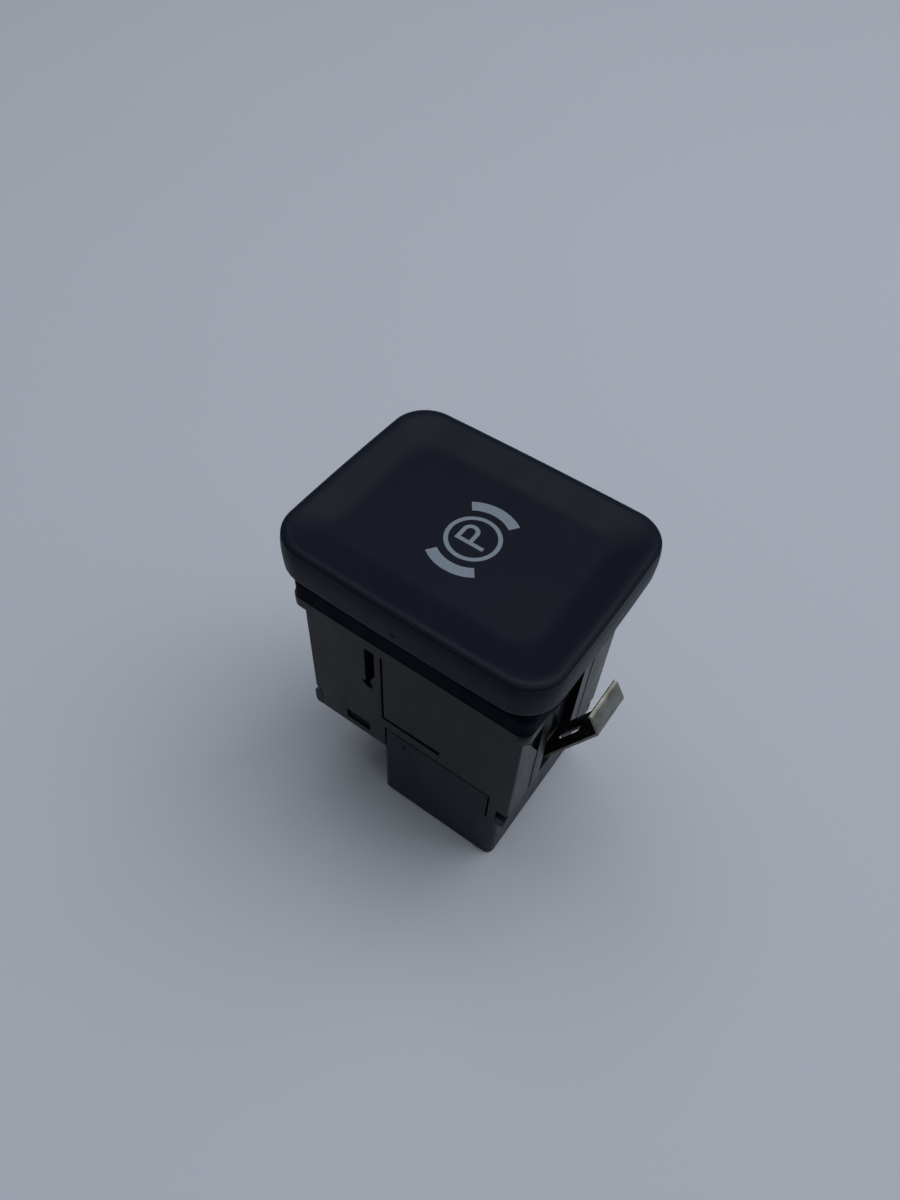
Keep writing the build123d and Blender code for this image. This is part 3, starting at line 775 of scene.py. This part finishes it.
@dataclass
class PressCap:
    """The press cap: drafted sides, a rounded rim and a dish with the symbol let into its floor.

    Args:
        symbol: The symbol's outlines.
        corner: Corner radius of the outline.
        mouth_corner: Corner radius where the dish starts.
        floor_corner: Corner radius of the dish's floor.
        bow: How far each side bows out.
        low_draft: How much the foot is narrower than the widest line.
        top_draft: How much the head is narrower.
        widest: Height of the widest line, as a share.
        foot_round: Radius of the lower edge.
        edge_round: Radius of the upper edge.
        crown: How far the rim's crest stands over that edge.
        crown_tilt: Slope of the rim at that edge, in degrees.
        rim: Width of the rim before the dish.
        slope: Width of the dish's slope.
        shoulder: Share of that slope in which it steepens.
        valley: Share of that slope in which it levels out.
        depth: Depth of the dish.
        wall: Thickness of the sides.
        skin: Thickness of the top.
        plate: Thickness of the inlay's plate.
        plate_side: Side of the inlay's plate.
        plate_corner: Corner radius of that plate.
        plate_gap: Air between that plate and the cap.
        etched: How far the inlay's face lies under the cap's.
        gate_height: Height of the trimmed gate's mark over the foot.
        gate_section: The mark's section, as radius and depth under the widest line.
        gate_steps: Steps round the mark.
        foot_steps: Steps round the lower edge.
        side_steps: Steps up the sides, below and above the widest line.
        edge_steps: Steps round the upper edge.
        crest_steps: Steps over the rim's crest.
        dish_steps: Steps down the dish.
        sharp: Angle over which an edge stays sharp, in degrees.
    """

    symbol: Symbol
    corner: float = 4.9 * MM
    mouth_corner: float = 4.05 * MM
    floor_corner: float = 3.2 * MM
    bow: float = 0.25 * MM
    low_draft: float = 0.08 * MM
    top_draft: float = 0.15 * MM
    widest: float = 0.6
    foot_round: float = 0.9 * MM
    edge_round: float = 0.45 * MM
    crown: float = 0.16 * MM
    crown_tilt: float = 22.0
    rim: float = 1.05 * MM
    slope: float = 5.05 * MM
    shoulder: float = 0.14
    valley: float = 0.38
    depth: float = 1.2 * MM
    wall: float = 1.75 * MM
    skin: float = 1.5 * MM
    plate: float = 1.25 * MM
    plate_side: float = 14.0 * MM
    plate_corner: float = 1.0 * MM
    plate_gap: float = 0.005 * MM
    etched: float = 0.02 * MM
    gate_height: float = 2.05 * MM
    gate_section: tuple[Point2, ...] = (
        (0.34 * MM, 0.20 * MM),
        (0.34 * MM, 0.012 * MM),
        (0.27 * MM, 0.001 * MM),
        (0.20 * MM, 0.012 * MM),
        (0.12 * MM, 0.08 * MM),
    )
    gate_steps: int = 24
    foot_steps: int = 8
    side_steps: tuple[int, int] = (6, 3)
    edge_steps: int = 10
    crest_steps: int = 8
    dish_steps: int = 30
    sharp: float = 40.0

    def __post_init__(self) -> None:
        """Take the cap's limits from its solid."""
        low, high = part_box("cap")
        self.half = ((high.x - low.x) / 2, (high.y - low.y) / 2)
        self.middle = ((high.x + low.x) / 2, (high.y + low.y) / 2)
        self.foot = low.z
        self.head = high.z
        self.floor = self.head - self.depth
        self.ceiling = self.floor - self.skin

    def corner_at(self, inset: float) -> float:
        """The outline's corner radius.

        Args:
            inset: How far in from the widest outline.

        Returns:
            The radius there.
        """
        if inset <= self.rim:
            return self.corner + (self.mouth_corner - self.corner) * inset / self.rim
        share = min((inset - self.rim) / self.slope, 1.0)
        return self.mouth_corner + (self.floor_corner - self.mouth_corner) * share

    def ring(self, inset: float, z: float) -> list[Vector]:
        """The cap's outline at one height.

        Args:
            inset: How far in from the widest outline.
            z: The height.

        Returns:
            The outline's points.
        """
        half = (self.half[0] - inset, self.half[1] - inset)
        fade = 1.0 - inset / (self.rim + self.slope)
        return rounded_ring(half, self.middle, self.corner_at(inset), z, self.bow * fade)

    def fall(self, share: float) -> float:
        """How deep the dish is on its slope.

        Args:
            share: Share of the slope's width, from the rim.

        Returns:
            Share of the dish's depth.
        """
        whole = 1 - (self.shoulder + self.valley) / 2
        if share < self.shoulder:
            return share ** 2 / (2 * self.shoulder) / whole
        if share > 1 - self.valley:
            return 1 - (1 - share) ** 2 / (2 * self.valley) / whole
        return (share - self.shoulder / 2) / whole

    def outside(self) -> list[Point2]:
        """The section from the foot's inner edge over the rim to the dish's floor.

        Returns:
            Its points, as inset and height.
        """
        section = [(self.wall, self.foot)]
        low_round = self.foot_round
        for share in (0.0, *shares(self.foot_steps)):
            angle = math.radians(-90 - share * 90)
            inset = self.low_draft + low_round + low_round * math.cos(angle)
            section.append((inset, self.foot + low_round + low_round * math.sin(angle)))
        wide_z = self.foot + (self.head - self.foot) * self.widest
        start_z = self.foot + low_round
        for share in shares(self.side_steps[0]):
            section.append((self.low_draft * (1 - share) ** 2, start_z + (wide_z - start_z) * share))
        end_z = self.head - self.crown - self.edge_round
        for share in shares(self.side_steps[1]):
            section.append((self.top_draft * share ** 2, wide_z + (end_z - wide_z) * share))
        base = section[-1][0] + self.edge_round
        for share in shares(self.edge_steps):
            angle = math.radians(180 - share * (90 - self.crown_tilt))
            inset = base + self.edge_round * math.cos(angle)
            section.append((inset, end_z + self.edge_round * math.sin(angle)))
        edge_inset, edge_z = section[-1]
        for share in shares(self.crest_steps):
            rise = 1 - (1 - share) ** 2
            inset = edge_inset + (self.rim - edge_inset) * share
            section.append((inset, edge_z + (self.head - edge_z) * rise))
        for share in shares(self.dish_steps):
            section.append((self.rim + self.slope * share, self.head - self.depth * self.fall(share)))
        return section

    def shell(self) -> bpy.types.Object:
        """The cap, open below, with the symbol's openings.

        Returns:
            The piece.
        """
        bm = bmesh.new()
        made = bridge(bm, [self.ring(inset, z) for inset, z in self.outside()])
        edge = [(v.co.x, v.co.y) for v in made[-1]]
        loops = self.symbol.loops()
        fill_between(bm, [edge] + loops, self.floor)
        inner = rounded_ring((self.half[0] - self.wall, self.half[1] - self.wall), self.middle,
                             self.corner - self.wall / 2, self.foot)
        upper = [Vector((p.x, p.y, self.ceiling)) for p in inner]
        outer_foot = [v.co.copy() for v in made[0]]
        bridge(bm, [outer_foot, inner])
        bridge(bm, [inner, upper])
        fill_between(bm, [[(p.x, p.y) for p in upper]] + loops, self.ceiling)
        for loop in loops:
            wall(bm, loop, self.ceiling, self.floor)
        return piece_from(bm, "cap_shell", self.sharp)

    def gate(self) -> bpy.types.Object:
        """The trimmed gate's round mark, low on the middle of the -X side, as a ring round a hollow.

        Returns:
            The piece.
        """
        bm = bmesh.new()
        face = self.middle[0] - self.half[0]
        rings = []
        turns = [2 * math.pi * step / self.gate_steps for step in range(self.gate_steps)]
        for radius, sunk in self.gate_section:
            spots = [(radius * math.cos(turn), radius * math.sin(turn)) for turn in turns]
            rings.append([Vector((face + sunk, self.middle[1] + x, self.foot + self.gate_height + y))
                          for x, y in spots])
        made = bridge(bm, rings)
        bm.faces.new(made[0])
        bm.faces.new(made[-1])
        return piece_from(bm, "gate_mark")

    def inlay(self) -> bpy.types.Object:
        """The symbol's strokes on their plate.

        Returns:
            The piece.
        """
        bm = bmesh.new()
        loops = self.symbol.loops()
        face = self.floor - self.etched
        root = self.ceiling - self.plate / 2
        fill_between(bm, loops, face)
        fill_between(bm, loops, root)
        for loop in loops:
            wall(bm, loop, root, face)
        half = self.plate_side / 2
        low = rounded_ring((half, half), self.middle, self.plate_corner, self.ceiling - self.plate)
        high = [Vector((p.x, p.y, self.ceiling - self.plate_gap)) for p in low]
        made = bridge(bm, [low, high])
        bm.faces.new(made[0])
        bm.faces.new(made[1])
        return piece_from(bm, "symbol_inlay")

    def build(self, finishes: Finishes) -> None:
        """Make and dress the cap, its gate's mark and its inlay.

        Args:
            finishes: The switch's finishes.
        """
        settle(self.shell(), finishes.cap, Hold.BUTTON, ("cap",))
        # The gate's mark takes the collar's near-black finish, whose darkness is painted shade, so it shows
        # darker than the cap around it.
        settle(self.gate(), finishes.collar, Hold.BUTTON)
        settle(self.inlay(), finishes.symbol, Hold.BUTTON, ("symbol_window",))


@dataclass
class RoundedPart:
    """A moulded or folded part whose sharp edges get the small radius of its mould.

    Args:
        node: The solid that it stands for.
        name: The piece's name.
        hold: The body that carries it.
        slot: The record's material slot; not used.
        width: The edge's width.
        segments: Steps round the edge.
        limit: Angle over which an edge is rounded, in degrees.
        merge: Corners nearer than this are one.
        flat: Faces that meet under this angle are one, in degrees.
    """

    node: str
    name: str
    hold: Hold
    slot: str
    width: float = 0.09 * MM
    segments: int = 2
    limit: float = 28.0
    merge: float = 0.002 * MM
    flat: float = 0.8

    def joined(self) -> bpy.types.Mesh:
        """A copy of the solid's mesh with its triangles joined into flat faces.

        Returns:
            The copy.
        """
        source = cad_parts[self.node].data
        bm = bmesh.new()
        made = [bm.verts.new(v.co) for v in source.vertices]
        for polygon in source.polygons:
            bm.faces.new([made[i] for i in polygon.vertices])
        bmesh.ops.remove_doubles(bm, verts=bm.verts, dist=self.merge)
        bmesh.ops.dissolve_limit(bm, angle_limit=math.radians(self.flat), verts=bm.verts, edges=bm.edges,
                                 use_dissolve_boundaries=False)
        mesh = bpy.data.meshes.new(self.name)
        bm.to_mesh(mesh)
        bm.free()
        return mesh

    def build(self, finish: bpy.types.Material) -> None:
        """Make and dress the part.

        Args:
            finish: Its material.
        """
        piece = link_mesh(self.name, self.joined())
        shade(piece.data, Shading.SMOOTH)
        bevel = piece.modifiers.new("edges", "BEVEL")
        bevel.width = self.width
        bevel.segments = self.segments
        bevel.limit_method = "ANGLE"
        bevel.angle_limit = math.radians(self.limit)
        bevel.use_clamp_overlap = True
        bevel.miter_outer = "MITER_ARC"
        even = piece.modifiers.new("even", "WEIGHTED_NORMAL")
        even.weight = BY_AREA_ALONE
        even.keep_sharp = True
        apply_modifiers(piece)
        settle(piece, finish, self.hold, (self.node,))


@dataclass(frozen=True)
class Nudge:
    """A small move of the corners that lie in a box, in millimetres.

    Args:
        x: The box's two sides along X.
        y: Its two sides along Y.
        z: Its two sides along Z.
        by: How far the corners move.
    """

    x: Point2
    y: Point2
    z: Point2
    by: Triple

    def move(self, mesh: bpy.types.Mesh) -> None:
        """Move the corners that lie in the box.

        Args:
            mesh: The mesh whose corners they are.
        """
        for vertex in mesh.vertices:
            place = vertex.co / MM
            sides = zip(place, (self.x, self.y, self.z))
            if all(low < value < high for value, (low, high) in sides):
                vertex.co += Vector(self.by) * MM


@dataclass
class HousingShell(RoundedPart):
    """The moulded body, with its thin lines as wide as they show.

    Args:
        channel_steps: The steps beside the two clip channels, drawn up to a fine line.
        label_ledge: The lower edge of the groove under the label field, set lower.
        tab_joint: The body's edge over the rear cover's side tabs, set higher.
    """

    channel_steps: tuple[Nudge, ...] = (
        Nudge(x=(3.99, 6.31), y=(-16.41, -16.39), z=(0.0, 50.0), by=(0.0, -0.17, 0.0)),
        Nudge(x=(3.99, 6.31), y=(16.94, 16.96), z=(0.0, 50.0), by=(0.0, 0.17, 0.0)),
    )
    label_ledge: Nudge = Nudge(x=(-12.2, -11.5), y=(-5.1, 4.85), z=(20.75, 21.05), by=(0.0, 0.0, -0.2))
    tab_joint: Nudge = Nudge(x=(-13.0, 13.0), y=(-13.7, 4.4), z=(18.45, 18.55), by=(0.0, 0.0, 0.12))

    def joined(self) -> bpy.types.Mesh:
        """A copy of the body's solid, with its thin lines set.

        Returns:
            The mesh.
        """
        mesh = super().joined()
        for nudge in (*self.channel_steps, self.label_ledge, self.tab_joint):
            nudge.move(mesh)
        return mesh


class GeometryTree(Nodes):
    """A Geometry Nodes tree that is built in code and run once."""

    def __init__(self, name: str) -> None:
        """Start a tree with an output for geometry.

        Args:
            name: The tree's name.
        """
        super().__init__(bpy.data.node_groups.new(name, "GeometryNodeTree"))
        self.tree.interface.new_socket("Geometry", in_out="OUTPUT", socket_type="NodeSocketGeometry")
        self.entry = self.add("NodeGroupInput")
        self.settings: dict[str, float] = {}

    def points(self) -> bpy.types.NodeSocket:
        """Add an input for the points that the piece starts with."""
        self.tree.interface.new_socket("Points", in_out="INPUT", socket_type="NodeSocketGeometry")
        return self.entry.outputs["Points"]

    def size(self, name: str, value: float) -> bpy.types.NodeSocket:
        """Add a named input for a size.

        Args:
            name: The input's name.
            value: Its value.

        Returns:
            The input's socket inside the tree.
        """
        socket = self.tree.interface.new_socket(name, in_out="INPUT", socket_type="NodeSocketFloat")
        self.settings[socket.identifier] = value
        return self.entry.outputs[name]

    def finish(self, geometry: bpy.types.NodeSocket, material: bpy.types.Material) -> None:
        """End the tree in real geometry with a material.

        Args:
            geometry: What the tree made.
            material: The piece's finish.
        """
        real = self.add("GeometryNodeRealizeInstances", Geometry=geometry).outputs["Geometry"]
        paint = self.add("GeometryNodeSetMaterial", Geometry=real, Material=material)
        self.add("NodeGroupOutput", Geometry=paint.outputs["Geometry"])

    def run(self, name: str, start: bpy.types.Mesh | None = None) -> bpy.types.Object:
        """Run the tree on a new piece and keep the result as a plain mesh.

        Args:
            name: The piece's name.
            start: The mesh that the piece starts with, if any.

        Returns:
            The piece.
        """
        piece = link_mesh(name, start or bpy.data.meshes.new(name))
        modifier = piece.modifiers.new("form", "NODES")
        modifier.node_group = self.tree
        for identifier, value in self.settings.items():
            modifier[identifier] = value
        apply_modifiers(piece)
        piece.data.name = name
        return piece


@dataclass
class ReturnSpring:
    """A coil spring between the board and the slider's web.

    Args:
        side: The solid's side, left or right.
        wire: The wire's radius.
        turns: How many turns it has.
        stroke: How far the cap presses it; not used.
        steps: Steps in one turn.
        sides: Sides of the wire's section.
        sharp: Angle over which an edge stays sharp, in degrees.
    """

    side: str
    wire: float = 0.22 * MM
    turns: float = 5.0
    stroke: float = 1.8 * MM
    steps: int = 28
    sides: int = 10
    sharp: float = 60.0

    def build(self, finishes: Finishes) -> None:
        """Wind and dress the spring.

        Args:
            finishes: The switch's finishes.
        """
        node = f"return_spring_{self.side}"
        low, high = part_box(node)
        middle = (low + high) / 2
        radius = (high.x - low.x) / 2 - self.wire
        rise = high.z - low.z - 2 * self.wire
        tree = GeometryTree("coil")
        round_radius = tree.size("Radius", radius)
        spiral = tree.add("GeometryNodeCurveSpiral", Resolution=self.steps,
                          Rotations=tree.size("Turns", self.turns), Start_Radius=round_radius,
                          End_Radius=round_radius, Height=tree.size("Rise", rise))
        section = tree.add("GeometryNodeCurvePrimitiveCircle", Resolution=self.sides,
                           Radius=tree.size("Wire", self.wire))
        sweep = tree.add("GeometryNodeCurveToMesh", Curve=spiral.outputs["Curve"],
                         Profile_Curve=section.outputs["Curve"], Fill_Caps=True)
        place = tree.add("GeometryNodeTransform", Geometry=sweep.outputs["Mesh"],
                         Translation=(middle.x, middle.y, low.z + self.wire))
        tree.finish(place.outputs["Geometry"], finishes.wire)
        piece = tree.run(f"coil_{self.side}")
        shade(piece.data, Shading.BY_ANGLE, self.sharp)
        settle(piece, finishes.wire, Hold.BASE, (node,))
        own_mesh(piece)


@dataclass
class SolderJoints:
    """Solder cones where the terminals come through the board.

    Args:
        radius: The cone's radius at the board.
        tip: The cone's radius at the pin.
        height: The cone's height.
        sides: The cone's sides.
    """

    radius: float = 0.95 * MM
    tip: float = 0.42 * MM
    height: float = 0.6 * MM
    sides: int = 20

    def build(self, finishes: Finishes) -> None:
        """Set a cone round each terminal.

        Args:
            finishes: The switch's finishes.
        """
        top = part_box("circuit_board")[1].z
        centres = []
        for number in TERMINALS:
            low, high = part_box(f"terminal_{number}")
            centres.append(((low.x + high.x) / 2, (low.y + high.y) / 2, top))
        start = bpy.data.meshes.new("terminal_points")
        start.from_pydata(centres, [], [])
        tree = GeometryTree("solder")
        points = tree.points()
        cone = tree.add("GeometryNodeMeshCone", Vertices=self.sides,
                        Radius_Bottom=tree.size("Foot", self.radius), Radius_Top=tree.size("Tip", self.tip),
                        Depth=tree.size("Height", self.height))
        place = tree.add("GeometryNodeInstanceOnPoints", Points=points, Instance=cone.outputs["Mesh"])
        tree.finish(place.outputs["Instances"], finishes.solder)
        piece = tree.run("solder_joints", start)
        shade(piece.data, Shading.BY_ANGLE)
        settle(piece, finishes.solder, Hold.BASE)


class CarriedNodes:
    """The solids that keep their own mesh and get a finish."""

    def build(self, finishes: Finishes) -> None:
        """Dress each carried node.

        Args:
            finishes: The switch's finishes.
        """
        dress = {
            "light_guide": finishes.clear,
            "microswitch_button_lower": finishes.button,
            "microswitch_button_upper": finishes.button,
            "lamp_left": finishes.resin,
            "lamp_right": finishes.resin,
        }
        dress.update({f"resistor_{number}": finishes.ceramic for number in RESISTORS})
        dress.update({f"terminal_{number}": finishes.tin for number in TERMINALS})
        for node, finish in dress.items():
            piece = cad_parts[node]
            piece.data.materials.clear()
            piece.data.materials.append(finish)
            log.info("%s dressed", node)


@dataclass(frozen=True)
class Softbox:
    """A square lamp that faces the part.

    Args:
        name: Its name.
        place: Its place.
        side: Its side.
        watts: Its power.
        colour: Its colour.
    """

    name: str
    place: Triple
    side: float
    watts: float
    colour: Colour = (0.96, 0.98, 1.0)

    def hang(self) -> None:
        """Hang the lamp."""
        data = bpy.data.lights.new(self.name, "AREA")
        data.shape = "SQUARE"
        data.size = self.side
        data.energy = self.watts
        data.color = self.colour
        lamp = bpy.data.objects.new(self.name, data)
        bpy.context.scene.collection.objects.link(lamp)
        lamp.location = self.place
        lamp.rotation_euler = Vector(self.place).to_track_quat("Z", "Y").to_euler()


@dataclass
class Studio:
    """Floor, light and camera at the photograph's angle. Places and sizes are in metres.

    Args:
        lens: Focal length in millimetres.
        sensor: Width of the sensor in millimetres.
        nearest: The nearest distance that the camera shows.
        eye: The camera's place.
        right: The picture's right.
        down: The picture's down.
        forward: The line of sight.
        floor_side: Half the floor's side.
        paper: The floor's colour.
        paper_shade: The floor's darker colour.
        horizon: The sky's colour at the horizon.
        upper: The sky's colour at the upper height.
        upper_height: That height, as the sine of its angle.
        zenith: The sky's colour overhead.
        backdrop: What the camera sees behind the part.
        lamps: The softboxes.
    """

    lens: float = 26.68
    sensor: float = 36.0
    nearest: float = 0.005
    eye: Triple = (-0.05993, -0.03545, 0.12993)
    right: Triple = (0.57881, -0.81444, 0.04076)
    down: Triple = (-0.63384, -0.48078, -0.60588)
    forward: Triple = (0.51305, 0.32486, -0.79451)
    floor_side: float = 3.0
    paper: Colour = (0.378, 0.404, 0.448)
    paper_shade: Colour = (0.360, 0.386, 0.428)
    horizon: Colour = (0.120, 0.125, 0.138)
    upper: Colour = (0.150, 0.158, 0.178)
    upper_height: float = 0.8
    zenith: Colour = (0.76, 0.79, 0.84)
    backdrop: Colour = (0.36, 0.39, 0.44)
    lamps: tuple[Softbox, ...] = (
        Softbox("overhead", (0.32, -0.285, 0.895), 0.78, 6.0),
        Softbox("fill", (0.11, 0.34, 1.0), 0.6, 2.6),
        Softbox("side", (0.20, -0.80, 0.35), 0.6, 0.7),
    )

    def camera(self) -> None:
        """Set the camera."""
        data = bpy.data.cameras.new("camera")
        data.lens = self.lens
        data.sensor_width = self.sensor
        data.clip_start = self.nearest
        camera = bpy.data.objects.new("camera", data)
        bpy.context.scene.collection.objects.link(camera)
        turn = Matrix((Vector(self.right), -Vector(self.down), -Vector(self.forward)))
        camera.matrix_world = Matrix.Translation(Vector(self.eye)) @ turn.transposed().to_4x4()
        bpy.context.scene.camera = camera

    def floor(self) -> None:
        """Lay the floor."""
        side = self.floor_side
        corners = [(-side, -side, 0.0), (side, -side, 0.0), (side, side, 0.0), (-side, side, 0.0)]
        mesh = bpy.data.meshes.new("floor")
        mesh.from_pydata(corners, [], [range(len(corners))])
        floor = link_mesh("floor", mesh)
        floor.data.materials.append(FloorPaper("floor_paper", self.paper, self.paper_shade).build())

    def world(self) -> None:
        """Light the surroundings: dim at the horizon, paler above, pale behind the part."""
        world = bpy.data.worlds.new("studio")
        bpy.context.scene.world = world
        world.use_nodes = True
        sky = Nodes(world.node_tree)
        place = sky.add("ShaderNodeTexCoord").outputs["Generated"]
        height = sky.add("ShaderNodeSeparateXYZ", Vector=place).outputs["Z"]
        ramp = sky.add("ShaderNodeValToRGB", Fac=height)
        stops = ramp.color_ramp.elements
        stops[0].color = (*self.horizon, 1.0)
        stops[1].color = (*self.zenith, 1.0)
        stops.new(self.upper_height).color = (*self.upper, 1.0)
        glow = sky.add("ShaderNodeBackground", Color=ramp.outputs["Color"])
        behind = sky.add("ShaderNodeBackground", Color=self.backdrop)
        mix = sky.add("ShaderNodeMixShader", Fac=sky.add("ShaderNodeLightPath").outputs["Is Camera Ray"])
        sky.tree.links.new(glow.outputs["Background"], mix.inputs[1])
        sky.tree.links.new(behind.outputs["Background"], mix.inputs[2])
        sky.add("ShaderNodeOutputWorld", Surface=mix.outputs["Shader"])

    def build(self) -> None:
        """Set up the whole studio."""
        bpy.context.scene.view_settings.view_transform = "Standard"
        self.camera()
        self.floor()
        self.world()
        for lamp in self.lamps:
            lamp.hang()


def main() -> None:
    """Build the finishes, the pieces and the studio."""
    logging.basicConfig(level=logging.INFO, format="%(message)s")
    finishes = Finishes()
    Studio().build()
    PressCap(Symbol()).build(finishes)
    base = Hold.BASE
    thin = 0.05 * MM
    parts = (
        # The collar frame's near-black finish is painted shade from the cap above it.
        (RoundedPart("guide_collar", "collar_frame", base, "collar_plastic"), finishes.collar),
        (HousingShell("housing", "housing_shell", base, "housing_plastic"), finishes.housing),
        (RoundedPart("rear_cover", "cover_and_socket", base, "cover_plastic"), finishes.cover),
        (RoundedPart("slider", "plunger_frame", Hold.BUTTON, "slider_plastic"), finishes.slider),
        (RoundedPart("circuit_board", "lacquered_board", base, "board_laminate", thin), finishes.board),
        (RoundedPart("microswitch_lower", "switch_case_low", base, "switch_plastic"), finishes.switch),
        (RoundedPart("microswitch_upper", "switch_case_high", base, "switch_plastic"), finishes.switch),
        (RoundedPart("lower_clip", "clip_leaf_low", Hold.CLIP_LOW, "clip_steel", thin), finishes.clip),
        (RoundedPart("upper_clip", "clip_leaf_high", Hold.CLIP_HIGH, "clip_steel", thin), finishes.clip),
    )
    for part, finish in parts:
        part.build(finish)
    ReturnSpring("left").build(finishes)
    ReturnSpring("right").build(finishes)
    SolderJoints().build(finishes)
    CarriedNodes().build(finishes)


if __name__ == "__main__":
    main()
